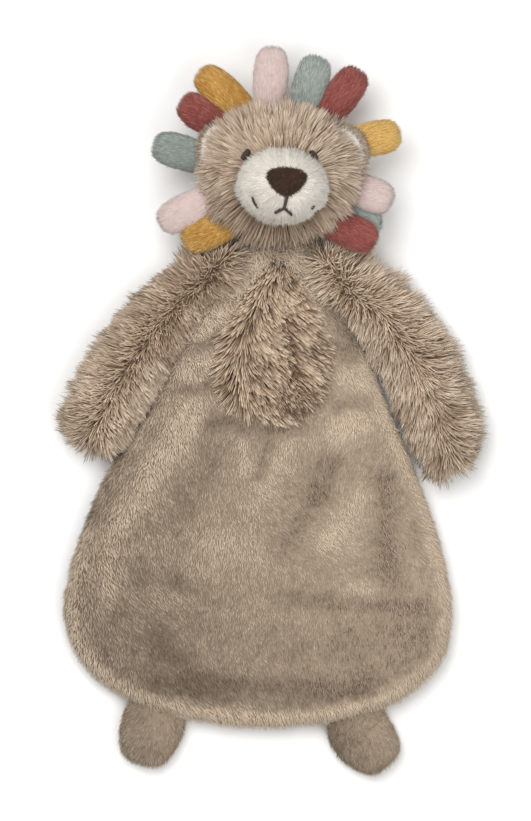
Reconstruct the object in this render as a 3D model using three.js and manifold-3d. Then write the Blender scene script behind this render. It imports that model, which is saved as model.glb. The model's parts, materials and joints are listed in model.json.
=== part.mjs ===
// A flat-bodied plush lion comforter that lies on its back: head towards +Y, face towards +Z.
// Millimetres. The origin is the middle of the flat back, where it meets the table.
import * as THREE from "three";
import { mergeVertices } from "three/addons/utils/BufferGeometryUtils.js";
import Module from "manifold-3d";

const wasm = await Module();
wasm.setup();

// Body cloth, measured from the hem's middle
const bodyLength = 167;
const bodyHalfWidth = 66;
const widestHeight = 38;
const hemFlat = 40; // how far the hem runs before it turns up to the side
const cornerRise = 24; // how soon the side leaves the hem's corner
const sideRise = 28;
const neckHalfWidth = 14;
const neckDrop = 2;
const shoulderFlare = 6;
const shoulderDrop = 15;
const bodyFrontCrown = 7;
const bodyBackCrown = 6;
const bodyMiddle = 76; // height of the point that the crown rises from
const restHeight = 83; // height of the middle of the flat back

// Cloth and fit
const clothWall = 1.6; // short pile and its backing
const pileWall = 2.4; // long pile and its backing
const fillGap = 0.6; // between cloth and stuffing
const seamGap = 0.3; // between sewn pieces
const tuckGap = 0.8; // room that a piece needs to flop where it is sewn on
const jointGap = 0.6; // round a gathered joint
const restCut = 0.5; // how much the weight flattens a piece on the table

// Tummy patch, from the body's neck end
const patchDrop = 4;
const patchLength = 60;
const patchWidest = 41; // from its top
const patchHalfWidth = 20;
const patchRise = 4.5; // above the body's crown
const patchRoundness = 0.6; // of its half width, less is more pointed

// Head, from the neck's end of the body
const headRise = 24; // from the body's end to the head's centre
const headHalfWidth = 27;
const headHalfHeight = 22.5;
const headHalfDepth = 22;
const neckRadius = 5.5;
const neckRise = 3.5;
const neckDepth = 10; // above the table

// Face, from the head's centre
const muzzleHalfWidth = 16.5;
const muzzleHalfHeight = 13.8;
const muzzleHalfDepth = 14.5;
const muzzleDrop = 5.3;
const muzzleForward = 17;
const noseHalfWidth = 7;
const noseHalfHeight = 5;
const noseDrop = 3.4;
const noseThickness = 2;
const threadRadius = 0.7;
const philtrumLength = 5.5;
const mouthHalfWidth = 5.2;
const mouthDip = 2;
const cheekOut = 10;
const cheekLength = 4;
const cheekDrop = 13;
const cheekLean = 1; // how far the mark's top leans out
const eyeOut = 11.6;
const eyeRise = 5.4;
const eyeHalfWidth = 2.2;
const eyeHalfHeight = 1.7;
const eyeThickness = 1.4;

// Ears
const earForward = 3; // from the head's side seam to the ear's back layer
const earLow = -4; // degrees round the head
const earHigh = 44;
const earReach = 3.4; // half of what stands out of the head
const earInnerReach = 2.6;
const earLayer = 1.3; // half thickness of a layer
const earInnerInset = 2.2; // shorter than the outer layer at each end

// Mane tabs
const tabLength = 17;
const tabHalfWidth = 4.6;
const tabHalfThickness = 2.3;
const tabSetBack = 2.5; // behind the head's side seam

// Arms, from the shoulder
const shoulderBelowNeck = 17; // from the body's neck end
const shoulderRadius = 4.5;
const shoulderNest = 4; // from the body's edge to the shoulder's centre
const shoulderDepth = 7.5;
const armOut = 38.5;
const armDown = 60;
const armBowOut = 20;
const armBowDown = 16;
const armRootHalfWidth = 10.4;
const armPawHalfWidth = 12.4;
const armRootHalfDepth = 6.5;
const armPawHalfDepth = 10.4;
const pawDepth = 8.6;

// Feet
const footInset = 31.5; // from the body's widest to the foot's middle
const footLength = 19.5;
const footHalfWidth = 11.5;
const footHalfDepth = 4.5;

// How full a stuffed piece is: 1 is an ellipse, less is squarer.
const bodyFullness = 0.6;
const patchFullness = 0.45;
const limbWidthFullness = 0.5;
const limbDepthFullness = 0.6;
const tabWidthFullness = 0.42;
const tabDepthFullness = 0.75;

// How many faces a form gets round it and along it
const bodyFaces = { across: 36, rings: 8 };
const bodyPadFaces = { across: 20, rings: 6 };
const patchFaces = { across: 20, rings: 8 };
const headFaces = { across: 20, rings: 10 };
const headFillFaces = { across: 14, rings: 6 };
const muzzleFaces = { across: 16, rings: 8 };
const muzzleFillFaces = { across: 12, rings: 6 };
const ballFaces = { across: 10, rings: 6 };
const eyeFaces = { across: 10, rings: 8 };
const earFaces = { across: 10, rings: 7 };
const tabFaces = { across: 8, rings: 6 };
const armFaces = { across: 12, rings: 8 };
const footFaces = { across: 12, rings: 6 };
const limbFillFaces = { across: 8, rings: 6 };
const noseSegments = 5;
const threadSegments = 3;
const markSteps = 3; // along a short stitch
const smileSteps = 6;
const searchSteps = 40;

const beyond = 400; // larger than the toy
const clothRough = 0.95;
const pileRough = 1;
const noseRough = 0.7;
const threadRough = 0.8;
const eyeRough = 0.6;
const red = 0xa55555;
const pink = 0xe1c8c6;
const teal = 0x96a8a5;
const yellow = 0xcd9b45;
const taupe = 0xa5947f;
const longTaupe = 0xbeaa94;
const cream = 0xe1dad0;
const fibre = 0xf2f0ea;
const noseBrown = 0x4b3a30;
const threadBrown = 0x2e2622;

const headCentre = new THREE.Vector3(0, bodyLength + headRise, headHalfDepth - restCut);
const muzzleCentre = headCentre.clone().add(new THREE.Vector3(0, -muzzleDrop, muzzleForward));
const neckCentre = new THREE.Vector3(0, bodyLength + neckRise, neckDepth);
const bodySeam = bodyBackCrown - restCut;
const headRadii = new THREE.Vector3(headHalfWidth, headHalfHeight, headHalfDepth);
const muzzleRadii = new THREE.Vector3(muzzleHalfWidth, muzzleHalfHeight, muzzleHalfDepth);

const forward = new THREE.Vector3(0, 0, 1);

const lion = new THREE.Group();
lion.position.y = -restHeight;

function solid(geometry) {
  geometry.deleteAttribute("normal");
  geometry.deleteAttribute("uv");
  const merged = mergeVertices(geometry);
  const triVerts = new Uint32Array(merged.index.array);
  const vertProperties = merged.attributes.position.array;
  return new wasm.Manifold(new wasm.Mesh({ numProp: 3, vertProperties, triVerts }));
}

// A group that turns about an axis through a pivot, relative to the group that carries it
function turning(name, carrier, pivot, axis) {
  const group = new THREE.Group();
  group.userData = { joint: name, pivot, axis: axis.clone().normalize() };
  carrier.add(group);
  return group;
}

function add(group, name, colour, roughness, shape) {
  const cut = shape.getMesh();
  const geometry = new THREE.BufferGeometry();
  geometry.setAttribute("position", new THREE.BufferAttribute(cut.vertProperties, 3));
  geometry.setIndex(new THREE.BufferAttribute(cut.triVerts, 1));
  geometry.computeVertexNormals();
  const material = new THREE.MeshStandardMaterial({ color: colour, roughness, metalness: 0 });
  const mesh = new THREE.Mesh(geometry, material);
  mesh.name = name;
  group.add(mesh);
}

// Everything between two heights above the table
function slab(low, high) {
  const geometry = new THREE.BoxGeometry(2 * beyond, 2 * beyond, high - low);
  return solid(geometry.translate(0, 0, (low + high) / 2));
}

function ellipsoid(centre, radii, grow, faces) {
  const geometry = new THREE.SphereGeometry(1, faces.across, faces.rings);
  geometry.scale(radii.x + grow, radii.y + grow, radii.z + grow);
  return solid(geometry.translate(centre.x, centre.y, centre.z));
}

function ballAt(centre, radius) {
  return ellipsoid(centre, new THREE.Vector3(radius, radius, radius), 0, ballFaces);
}

// A point of a closed outline that runs anticlockwise, moved outwards by grow
function edgePoint(outline, share, grow) {
  const point = outline.getPointAt(share);
  const along = outline.getTangentAt(share);
  return point.add(new THREE.Vector2(along.y, -along.x).multiplyScalar(grow));
}

// A cushion: its outline lies in the seam's plane, and it rises to a crown on both sides.
function cushion(form, grow = 0) {
  const geometry = new THREE.SphereGeometry(1, form.across, form.rings).rotateX(Math.PI / 2);
  const place = geometry.attributes.position;
  for (let i = 0; i < place.count; i++) {
    const x = place.getX(i);
    const y = place.getY(i);
    const turn = THREE.MathUtils.euclideanModulo(Math.atan2(y, x) / (2 * Math.PI), 1);
    const spread = edgePoint(form.outline, turn, grow).sub(form.middle);
    spread.multiplyScalar(Math.hypot(x, y)).add(form.middle);
    const lift = place.getZ(i);
    const crown = (lift > 0 ? form.front : form.back) + grow;
    const rise = Math.sign(lift) * Math.abs(lift) ** form.fullness * crown;
    place.setXYZ(i, spread.x, spread.y, form.seam + rise);
  }
  return solid(geometry);
}

// A stuffed limb along a curve: half width and half depth run from their root value to their tip value.
function limb(form, grow = 0) {
  const geometry = new THREE.SphereGeometry(1, form.across, form.rings);
  const place = geometry.attributes.position;
  for (let i = 0; i < place.count; i++) {
    const towardsRoot = place.getY(i);
    const share = THREE.MathUtils.clamp((1 - towardsRoot) / 2, 0, 1);
    const round = Math.hypot(place.getX(i), place.getZ(i));
    const turn = Math.atan2(place.getZ(i), place.getX(i));
    const along = form.spine.getTangentAt(share);
    const side = new THREE.Vector3().crossVectors(forward, along).normalize();
    const width = THREE.MathUtils.lerp(form.rootWidth, form.tipWidth, share) + grow;
    const depth = THREE.MathUtils.lerp(form.rootDepth, form.tipDepth, share) + grow;
    const point = form.spine.getPointAt(share).addScaledVector(along, -towardsRoot * grow);
    point.addScaledVector(side, width * round ** form.widthFullness * Math.cos(turn));
    point.addScaledVector(forward, depth * round ** form.depthFullness * Math.sin(turn));
    place.setXYZ(i, point.x, point.y, point.z);
  }
  return solid(geometry);
}

// The two halves of a sewn cover, open towards each other at the seam
function panels(outer, inner, seam) {
  const cover = outer.subtract(inner);
  const front = cover.intersect(slab(seam + seamGap / 2, beyond));
  const back = cover.intersect(slab(0, seam - seamGap / 2));
  return { front, back };
}

function bodyOutline() {
  const outline = new THREE.Path();
  const neckSide = bodyLength - neckDrop;
  const flare = neckHalfWidth + shoulderFlare;
  const flareHeight = neckSide - shoulderDrop;
  outline.moveTo(0, 0);
  outline.bezierCurveTo(
    hemFlat, 0, bodyHalfWidth, widestHeight - cornerRise, bodyHalfWidth, widestHeight,
  );
  outline.bezierCurveTo(
    bodyHalfWidth, widestHeight + sideRise, flare, flareHeight, neckHalfWidth, neckSide,
  );
  outline.quadraticCurveTo(neckHalfWidth / 2, bodyLength, 0, bodyLength);
  outline.quadraticCurveTo(-neckHalfWidth / 2, bodyLength, -neckHalfWidth, neckSide);
  outline.bezierCurveTo(
    -flare, flareHeight, -bodyHalfWidth, widestHeight + sideRise, -bodyHalfWidth, widestHeight,
  );
  outline.bezierCurveTo(
    -bodyHalfWidth, widestHeight - cornerRise, -hemFlat, 0, 0, 0,
  );
  return outline;
}

const bodyEdge = bodyOutline();
const body = {
  outline: bodyEdge,
  middle: new THREE.Vector2(0, bodyMiddle),
  seam: bodySeam,
  front: bodyFrontCrown,
  back: bodyBackCrown,
  fullness: bodyFullness,
  ...bodyFaces,
};

// Where a measure of the body's right edge reaches a value, with the outward direction there
function onBodyEdge(measure, value, low, high) {
  for (let step = 0; step < searchSteps; step++) {
    const middle = (low + high) / 2;
    if (measure(bodyEdge.getPointAt(middle)) < value) low = middle;
    else high = middle;
  }
  const point = bodyEdge.getPointAt(low);
  const along = bodyEdge.getTangentAt(low);
  return { point, outward: new THREE.Vector2(along.y, -along.x) };
}

const hemEnd = 0.2; // share of the outline that the hem's right half takes, at least
const neckShare = 0.5; // share of the outline from the hem's middle to the neck's
const shoulderEdge = onBodyEdge((p) => p.y, bodyLength - shoulderBelowNeck, hemEnd, neckShare);
const hemEdge = onBodyEdge((p) => p.x, bodyHalfWidth - footInset, 0, hemEnd);

function shoulderAt(side) {
  const place = shoulderEdge.point.clone().addScaledVector(shoulderEdge.outward, shoulderNest);
  return new THREE.Vector3(side * place.x, place.y, shoulderDepth);
}

function addBody() {
  const shoulders = [-1, 1].map((side) => ballAt(shoulderAt(side), shoulderRadius + jointGap));
  const neckRoom = ballAt(neckCentre, neckRadius + jointGap);
  const outer = [neckRoom, ...shoulders].reduce((left, room) => left.subtract(room), cushion(body));
  const { front, back } = panels(outer, cushion(body, -clothWall), body.seam);
  add(lion, "body_front_panel", taupe, clothRough, front);
  add(lion, "body_back_panel", taupe, clothRough, back);
  const pad = { ...body, ...bodyPadFaces };
  add(lion, "body_wadding", fibre, pileRough, cushion(pad, -clothWall - fillGap));
}

function addTummyPatch() {
  const outline = new THREE.Path();
  const patchTop = bodyLength - patchDrop;
  const patchBottom = patchTop - patchLength;
  const patchMiddle = patchTop - patchWidest;
  const round = patchHalfWidth * patchRoundness;
  outline.moveTo(0, patchBottom);
  outline.bezierCurveTo(
    round, patchBottom, patchHalfWidth, patchMiddle - round, patchHalfWidth, patchMiddle,
  );
  outline.bezierCurveTo(patchHalfWidth, patchMiddle + round, round, patchTop, 0, patchTop);
  outline.bezierCurveTo(
    -round, patchTop, -patchHalfWidth, patchMiddle + round, -patchHalfWidth, patchMiddle,
  );
  outline.bezierCurveTo(
    -patchHalfWidth, patchMiddle - round, -round, patchBottom, 0, patchBottom,
  );
  const patch = cushion({
    outline,
    middle: new THREE.Vector2(0, patchMiddle),
    seam: bodySeam,
    front: bodyFrontCrown + patchRise,
    back: bodyBackCrown,
    fullness: patchFullness,
    ...patchFaces,
  });
  const above = patch.intersect(slab(bodySeam, beyond));
  add(lion, "tummy_patch", longTaupe, pileRough, above.subtract(cushion(body, seamGap)));
}

const neck = turning("neck_turn", lion, neckCentre, new THREE.Vector3(0, 1, 0));
const head = turning("neck_tilt", neck, neckCentre, new THREE.Vector3(-1, 0, 0));

function headShape(grow) {
  return ellipsoid(headCentre, headRadii, grow, headFaces);
}

function muzzleShape(grow) {
  return ellipsoid(muzzleCentre, muzzleRadii, grow, muzzleFaces);
}

function addHead() {
  const neckRoom = ballAt(neckCentre, neckRadius + jointGap);
  const { front, back } = panels(headShape(0), headShape(-pileWall), headCentre.z);
  add(head, "head_front_panel", longTaupe, pileRough, front);
  add(head, "head_back_panel", longTaupe, pileRough, back.subtract(neckRoom));
  const filling = ellipsoid(headCentre, headRadii, -pileWall - fillGap, headFillFaces);
  add(head, "head_stuffing", fibre, pileRough, filling.subtract(neckRoom));
  add(neck, "neck_gather", taupe, pileRough, ballAt(neckCentre, neckRadius));
}

function addMuzzle() {
  const face = headShape(seamGap);
  const cover = muzzleShape(0).subtract(muzzleShape(-clothWall));
  add(head, "muzzle_cover", cream, clothRough, cover.subtract(face));
  const filling = ellipsoid(muzzleCentre, muzzleRadii, -clothWall - fillGap, muzzleFillFaces);
  add(head, "muzzle_stuffing", fibre, pileRough, filling.subtract(face));
}

// The muzzle's surface above a point of the face, at a distance out from it
function onMuzzle(x, y, out) {
  const radii = muzzleRadii.clone().addScalar(out);
  const flat = 1 - (x / radii.x) ** 2 - ((y - muzzleCentre.y) / radii.y) ** 2;
  return new THREE.Vector3(x, y, muzzleCentre.z + radii.z * Math.sqrt(Math.max(flat, 0)));
}

function addNose() {
  const outline = new THREE.Shape();
  const middle = headCentre.y - noseDrop;
  const top = middle + noseHalfHeight;
  const shoulder = middle + noseHalfHeight / 2;
  const tip = middle - noseHalfHeight;
  outline.moveTo(0, tip);
  outline.bezierCurveTo(noseHalfWidth / 2, tip, noseHalfWidth, middle, noseHalfWidth, shoulder);
  outline.quadraticCurveTo(noseHalfWidth, top, 0, top);
  outline.quadraticCurveTo(-noseHalfWidth, top, -noseHalfWidth, shoulder);
  outline.bezierCurveTo(-noseHalfWidth, middle, -noseHalfWidth / 2, tip, 0, tip);
  const depth = muzzleHalfDepth + noseThickness + seamGap;
  const sweep = { depth, bevelEnabled: false, curveSegments: noseSegments };
  const block = new THREE.ExtrudeGeometry(outline, sweep);
  const column = solid(block.translate(0, 0, muzzleCentre.z));
  const skin = muzzleShape(seamGap + noseThickness).subtract(muzzleShape(seamGap));
  add(head, "nose", noseBrown, noseRough, column.intersect(skin));
}

// A stitched line: a round thread along points on the muzzle
function thread(points, steps) {
  const section = new THREE.Shape();
  section.absarc(0, 0, threadRadius, 0, 2 * Math.PI);
  const extrudePath = new THREE.CatmullRomCurve3(points);
  const sweep = { steps, extrudePath, curveSegments: threadSegments };
  return solid(new THREE.ExtrudeGeometry(section, sweep));
}

function addStitches() {
  const lift = seamGap + threadRadius;
  const noseTip = headCentre.y - noseDrop - noseHalfHeight;
  const philtrumTop = noseTip - threadRadius - seamGap;
  const mouth = noseTip - philtrumLength;
  const line = [philtrumTop, (philtrumTop + mouth) / 2, mouth].map((y) => onMuzzle(0, y, lift));
  const smile = [-1, -0.5, 0, 0.5, 1].map((share) =>
    onMuzzle(share * mouthHalfWidth, mouth - share * share * mouthDip, lift),
  );
  const mouthShape = thread(line, markSteps).add(thread(smile, smileSteps));
  add(head, "mouth_stitch", threadBrown, threadRough, mouthShape);
  for (const [name, side] of [["left", -1], ["right", 1]]) {
    const low = headCentre.y - cheekDrop;
    const mark = [0, 0.5, 1].map((share) =>
      onMuzzle(side * (cheekOut + share * cheekLean), low + share * cheekLength, lift),
    );
    add(head, name + "_cheek_stitch", threadBrown, threadRough, thread(mark, markSteps));
  }
}

function addEyes() {
  for (const [name, side] of [["left", -1], ["right", 1]]) {
    const flat = 1 - (eyeOut / headHalfWidth) ** 2 - (eyeRise / headHalfHeight) ** 2;
    const up = headHalfDepth * Math.sqrt(flat);
    const centre = headCentre.clone().add(new THREE.Vector3(side * eyeOut, eyeRise, up));
    const radii = new THREE.Vector3(eyeHalfWidth, eyeHalfHeight, eyeThickness + seamGap);
    const bead = ellipsoid(centre, radii, 0, eyeFaces);
    const open = bead.subtract(headShape(seamGap)).subtract(muzzleShape(seamGap));
    add(head, name + "_eye", threadBrown, eyeRough, open);
  }
}

// A point on the head's outline at a height above the table, by its turn round the head in degrees
function headRim(degrees, height, grow) {
  const turn = THREE.MathUtils.degToRad(degrees);
  const shrink = Math.sqrt(1 - ((height - headCentre.z) / headHalfDepth) ** 2);
  const x = (headHalfWidth * shrink + grow) * Math.cos(turn);
  const y = (headHalfHeight * shrink + grow) * Math.sin(turn);
  return new THREE.Vector3(x, headCentre.y + y, height);
}

function earLayerShape(side, height, reach, inset, gap) {
  const low = earLow + inset;
  const high = earHigh - inset;
  const points = [low, (low + high) / 2, high].map((degrees) => {
    const point = headRim(degrees, height, tuckGap + reach);
    return new THREE.Vector3(side * point.x, point.y, point.z);
  });
  const pad = limb({
    spine: new THREE.CatmullRomCurve3(points),
    rootWidth: reach,
    tipWidth: reach,
    rootDepth: earLayer,
    tipDepth: earLayer,
    widthFullness: limbWidthFullness,
    depthFullness: limbDepthFullness,
    ...earFaces,
  });
  return pad.subtract(headShape(gap));
}

function addEars() {
  const back = headCentre.z + earForward;
  const front = back + 2 * earLayer + seamGap;
  const inset = THREE.MathUtils.radToDeg(earInnerInset / headHalfWidth);
  for (const [name, side] of [["left", -1], ["right", 1]]) {
    const low = headRim(earLow, back, tuckGap);
    const high = headRim(earHigh, back, tuckGap);
    const chord = new THREE.Vector3(side * (low.x - high.x), low.y - high.y, 0);
    const pivot = headRim((earLow + earHigh) / 2, back, tuckGap + earLayer);
    pivot.x *= side;
    const ear = turning(name + "_ear_flop", head, pivot, chord.multiplyScalar(side));
    const outer = earLayerShape(side, back, earReach, 0, tuckGap);
    const inner = earLayerShape(side, front, earInnerReach, inset, 2 * tuckGap);
    add(ear, name + "_ear_outer", longTaupe, pileRough, outer);
    add(ear, name + "_ear_inner", cream, clothRough, inner);
  }
}

// Each tab: where it is sewn round the head and which way it points, in degrees, how far it reaches as
// a share of the usual length, and how far forward as a share of its thickness
const tabs = [
  { name: "pink_top", colour: pink, root: 100, points: 89, reach: 1.14, forward: 0 },
  { name: "teal_top", colour: teal, root: 75, points: 75, reach: 1.04, forward: 0 },
  { name: "red_top", colour: red, root: 57, points: 56, reach: 1.12, forward: 0 },
  { name: "yellow_right", colour: yellow, root: 27, points: 12, reach: 0.95, forward: 0 },
  { name: "pink_right", colour: pink, root: 350, points: 339, reach: 0.74, forward: 0 },
  { name: "teal_right", colour: teal, root: 326, points: 331, reach: 0.83, forward: -0.54 },
  { name: "red_right", colour: red, root: 310, points: 339, reach: 1.00, forward: 0.59 },
  { name: "yellow_left", colour: yellow, root: 232, points: 205, reach: 0.99, forward: 0 },
  { name: "pink_left", colour: pink, root: 207, points: 210, reach: 1.09, forward: 0 },
  { name: "teal_left", colour: teal, root: 173, points: 165, reach: 1.00, forward: 0 },
  { name: "red_left", colour: red, root: 141, points: 150, reach: 0.92, forward: 0 },
  { name: "yellow_top", colour: yellow, root: 119, points: 141, reach: 1.14, forward: 0 },
];

function addTabs() {
  for (const tab of tabs) {
    const height = headCentre.z - tabSetBack + 2 * tab.forward * tabHalfThickness;
    const root = headRim(tab.root, height, 0);
    const turn = THREE.MathUtils.degToRad(tab.points);
    const tip = root.clone();
    tip.x += tab.reach * tabLength * Math.cos(turn);
    tip.y += tab.reach * tabLength * Math.sin(turn);
    const roll = limb({
      spine: new THREE.LineCurve3(root, tip),
      rootWidth: tabHalfWidth,
      tipWidth: tabHalfWidth,
      rootDepth: tabHalfThickness,
      tipDepth: tabHalfThickness,
      widthFullness: tabWidthFullness,
      depthFullness: tabDepthFullness,
      ...tabFaces,
    });
    const along = tip.clone().sub(root).normalize();
    const pivot = root.clone().addScaledVector(along, tabHalfThickness);
    const flap = turning(tab.name + "_flap", head, pivot, along.cross(forward));
    add(flap, "mane_tab_" + tab.name, tab.colour, clothRough, roll.subtract(headShape(tuckGap)));
  }
}

function addArms() {
  for (const [name, side] of [["left", -1], ["right", 1]]) {
    const shoulder = shoulderAt(side);
    const bow = shoulder.clone().add(new THREE.Vector3(side * armBowOut, -armBowDown, 0));
    const paw = new THREE.Vector3(shoulder.x + side * armOut, shoulder.y - armDown, pawDepth);
    const arm = {
      spine: new THREE.QuadraticBezierCurve3(shoulder, bow, paw),
      rootWidth: armRootHalfWidth,
      tipWidth: armPawHalfWidth,
      rootDepth: armRootHalfDepth,
      tipDepth: armPawHalfDepth,
      widthFullness: limbWidthFullness,
      depthFullness: limbDepthFullness,
      ...armFaces,
    };
    const room = ballAt(shoulder, shoulderRadius + jointGap);
    const outer = limb(arm).subtract(room);
    const { front, back } = panels(outer, limb(arm, -pileWall), shoulderDepth);
    const reach = paw.clone().sub(shoulder).setZ(0);
    const swing = turning(name + "_arm_swing", lion, shoulder, new THREE.Vector3(0, 0, side));
    const lift = turning(name + "_arm_lift", swing, shoulder, reach.cross(forward));
    add(lift, name + "_arm_front", longTaupe, pileRough, front);
    add(lift, name + "_arm_back", longTaupe, pileRough, back);
    const filling = limb({ ...arm, ...limbFillFaces }, -pileWall - fillGap);
    add(lift, name + "_arm_stuffing", fibre, pileRough, filling.subtract(room));
    add(swing, name + "_shoulder_gather", taupe, pileRough, ballAt(shoulder, shoulderRadius));
  }
}

function addFeet() {
  const seam = footHalfDepth - restCut;
  for (const [name, side] of [["left", -1], ["right", 1]]) {
    const out = new THREE.Vector3(side * hemEdge.outward.x, hemEdge.outward.y, 0);
    const root = new THREE.Vector3(side * hemEdge.point.x, hemEdge.point.y, seam);
    const tip = root.clone().addScaledVector(out, footLength);
    const foot = {
      spine: new THREE.LineCurve3(root, tip),
      rootWidth: footHalfWidth,
      tipWidth: footHalfWidth,
      rootDepth: footHalfDepth,
      tipDepth: footHalfDepth,
      widthFullness: limbWidthFullness,
      depthFullness: limbDepthFullness,
      ...footFaces,
    };
    const { front, back } = panels(limb(foot), limb(foot, -clothWall), seam);
    const pivot = root.clone().addScaledVector(out, footHalfDepth);
    const fold = turning(name + "_foot_fold", lion, pivot, out.clone().cross(forward));
    add(fold, name + "_foot_front", taupe, clothRough, front);
    add(fold, name + "_foot_back", taupe, clothRough, back);
    const pad = { ...foot, ...limbFillFaces };
    add(fold, name + "_foot_wadding", fibre, pileRough, limb(pad, -clothWall - fillGap));
  }
}

addBody();
addTummyPatch();
addHead();
addMuzzle();
addNose();
addStitches();
addEyes();
addEars();
addTabs();
addArms();
addFeet();

export default lion;
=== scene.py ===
import json
import math

import bmesh
import bpy
from mathutils import Matrix, Vector, geometry, kdtree, noise


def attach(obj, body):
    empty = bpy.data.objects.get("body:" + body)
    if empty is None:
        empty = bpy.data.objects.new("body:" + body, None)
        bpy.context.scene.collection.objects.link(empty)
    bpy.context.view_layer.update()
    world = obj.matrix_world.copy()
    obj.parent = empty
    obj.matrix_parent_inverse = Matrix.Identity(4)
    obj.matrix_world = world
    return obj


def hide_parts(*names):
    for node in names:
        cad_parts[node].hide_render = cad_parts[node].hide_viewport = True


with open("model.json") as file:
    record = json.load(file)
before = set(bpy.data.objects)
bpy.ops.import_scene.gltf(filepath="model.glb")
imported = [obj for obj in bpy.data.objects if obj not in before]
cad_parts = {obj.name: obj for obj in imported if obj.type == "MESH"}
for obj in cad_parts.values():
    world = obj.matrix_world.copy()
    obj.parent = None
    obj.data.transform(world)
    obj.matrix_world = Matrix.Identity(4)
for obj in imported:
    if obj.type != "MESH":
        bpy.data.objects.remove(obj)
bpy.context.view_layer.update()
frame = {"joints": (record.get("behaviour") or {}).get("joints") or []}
mm = 0.001
scene = bpy.context.scene
scene.view_settings.view_transform = "Standard"


def addNode(tree, kind, inputs=None, **settings):
    node = tree.nodes.new(kind)
    for name, value in settings.items():
        setattr(node, name, value)
    for socket, value in (inputs or {}).items():
        if isinstance(value, bpy.types.NodeSocket):
            tree.links.new(value, node.inputs[socket])
        else:
            node.inputs[socket].default_value = value
    return node


def linear(colour):  # from the 0 to 255 of a colour picker
    return tuple(c / 12.92 if c < 0.04045 else ((c + 0.055) / 1.055) ** 2.4 for c in (v / 255 for v in colour)) + (1,)


# camera straight above, turned a little because the toy lies askew in the picture
studio = {
    "cameraAt": (-1.7, 25.2, 2615), "roll": 2.27, "lens": 331.4, "sensor": 36, "nearest": 10,
    "floor": (246, 246, 245), "floorHalf": 3000, "floorRoughness": 0.9, "world": 0.42,
    "lampsAimAt": (0, 20, 0),
    "lamps": {  # place, size, watts
        "key": ((-280, 400, 1060), 800, 10.1),
        "fill": ((420, -360, 1000), 900, 4.9),
    },
}


def setStudio():
    camera = bpy.data.objects.new("camera", bpy.data.cameras.new("camera"))
    scene.collection.objects.link(camera)
    camera.location = Vector(studio["cameraAt"]) * mm
    camera.rotation_euler = (0, 0, math.radians(studio["roll"]))
    camera.data.sensor_fit = "VERTICAL"
    camera.data.sensor_height = studio["sensor"]
    camera.data.lens = studio["lens"]
    camera.data.clip_start = studio["nearest"] * mm
    scene.camera = camera
    for name, (place, size, watts) in studio["lamps"].items():
        lamp = bpy.data.objects.new(name, bpy.data.lights.new(name, "AREA"))
        scene.collection.objects.link(lamp)
        lamp.data.size = size * mm
        lamp.data.energy = watts
        lamp.location = Vector(place) * mm
        aim = Vector(studio["lampsAimAt"]) * mm - lamp.location
        lamp.rotation_euler = aim.to_track_quat("-Z", "Y").to_euler()
    world = bpy.data.worlds.new("studio")
    world.use_nodes = True
    tree = world.node_tree
    sky = tree.nodes["Background"]
    sky.inputs["Color"].default_value = linear(studio["floor"])
    seen = addNode(tree, "ShaderNodeLightPath").outputs  # white where it is seen, soft light elsewhere
    shown = seen["Is Camera Ray"]
    for other in ("Is Glossy Ray", "Is Transmission Ray"):
        shown = addNode(tree, "ShaderNodeMath", {0: shown, 1: seen[other]}, operation="MAXIMUM").outputs[0]
    level = addNode(tree, "ShaderNodeMapRange", {"Value": shown, "To Min": studio["world"], "To Max": 1.0})
    tree.links.new(level.outputs[0], sky.inputs["Strength"])
    scene.world = world
    bm = bmesh.new()
    bmesh.ops.create_grid(bm, x_segments=1, y_segments=1, size=studio["floorHalf"] * mm)
    floor = bpy.data.objects.new("floor", bpy.data.meshes.new("floor"))
    bm.to_mesh(floor.data)
    bm.free()
    scene.collection.objects.link(floor)
    paper = bpy.data.materials.new("paper")
    paper.use_nodes = True
    shader = paper.node_tree.nodes["Principled BSDF"]
    shader.inputs["Base Color"].default_value = linear(studio["floor"])
    shader.inputs["Roughness"].default_value = studio["floorRoughness"]
    floor.data.materials.append(paper)
    print("studio set")


# each pile: colours from root to tip, for its darkest and its lightest strands; the darker roots are partly painted
# shade deep in the pile
pileLooks = {
    "longTaupe": {
        "dark": ((92, 71, 53), (148, 124, 101), (176, 153, 131)),
        "light": ((132, 107, 85), (206, 183, 158), (242, 225, 204)),
    },
    "tummyTaupe": {
        "dark": ((40, 27, 18), (104, 80, 60), (148, 122, 98)),
        "light": ((74, 54, 39), (190, 163, 136), (240, 220, 196)),
    },
    "shortTaupe": {
        "dark": ((66, 52, 40), (98, 82, 67), (118, 101, 84)),
        "light": ((186, 165, 142), (236, 216, 191), (255, 241, 222)),
    },
    "cream": {
        "dark": ((204, 194, 181), (222, 213, 200), (230, 222, 211)),
        "light": ((236, 229, 218), (249, 244, 235), (253, 250, 244)),
    },
    "pink": {
        "dark": ((188, 160, 156), (205, 182, 177), (217, 197, 191)),
        "light": ((214, 192, 187), (229, 213, 207), (241, 228, 222)),
    },
    "teal": {
        "dark": ((102, 110, 104), (132, 140, 133), (152, 159, 152)),
        "light": ((155, 163, 156), (191, 197, 190), (216, 221, 214)),
    },
    "red": {
        "dark": ((98, 44, 40), (128, 64, 58), (148, 82, 74)),
        "light": ((142, 74, 67), (180, 110, 101), (210, 150, 138)),
    },
    "mustard": {
        "dark": ((140, 93, 31), (174, 123, 50), (192, 144, 72)),
        "light": ((200, 156, 78), (238, 200, 126), (251, 224, 164)),
    },
    "noseBrown": {
        "dark": ((36, 22, 14), (52, 34, 23), (68, 48, 35)),
        "light": ((56, 38, 26), (88, 63, 46), (120, 93, 73)),
    },
}
pileFinish = {"Specular IOR Level": 0.25, "Sheen Weight": 0.15, "Sheen Roughness": 0.5}
pileRoughness = (0.95, 0.72)  # at the root and at the tip


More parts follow.
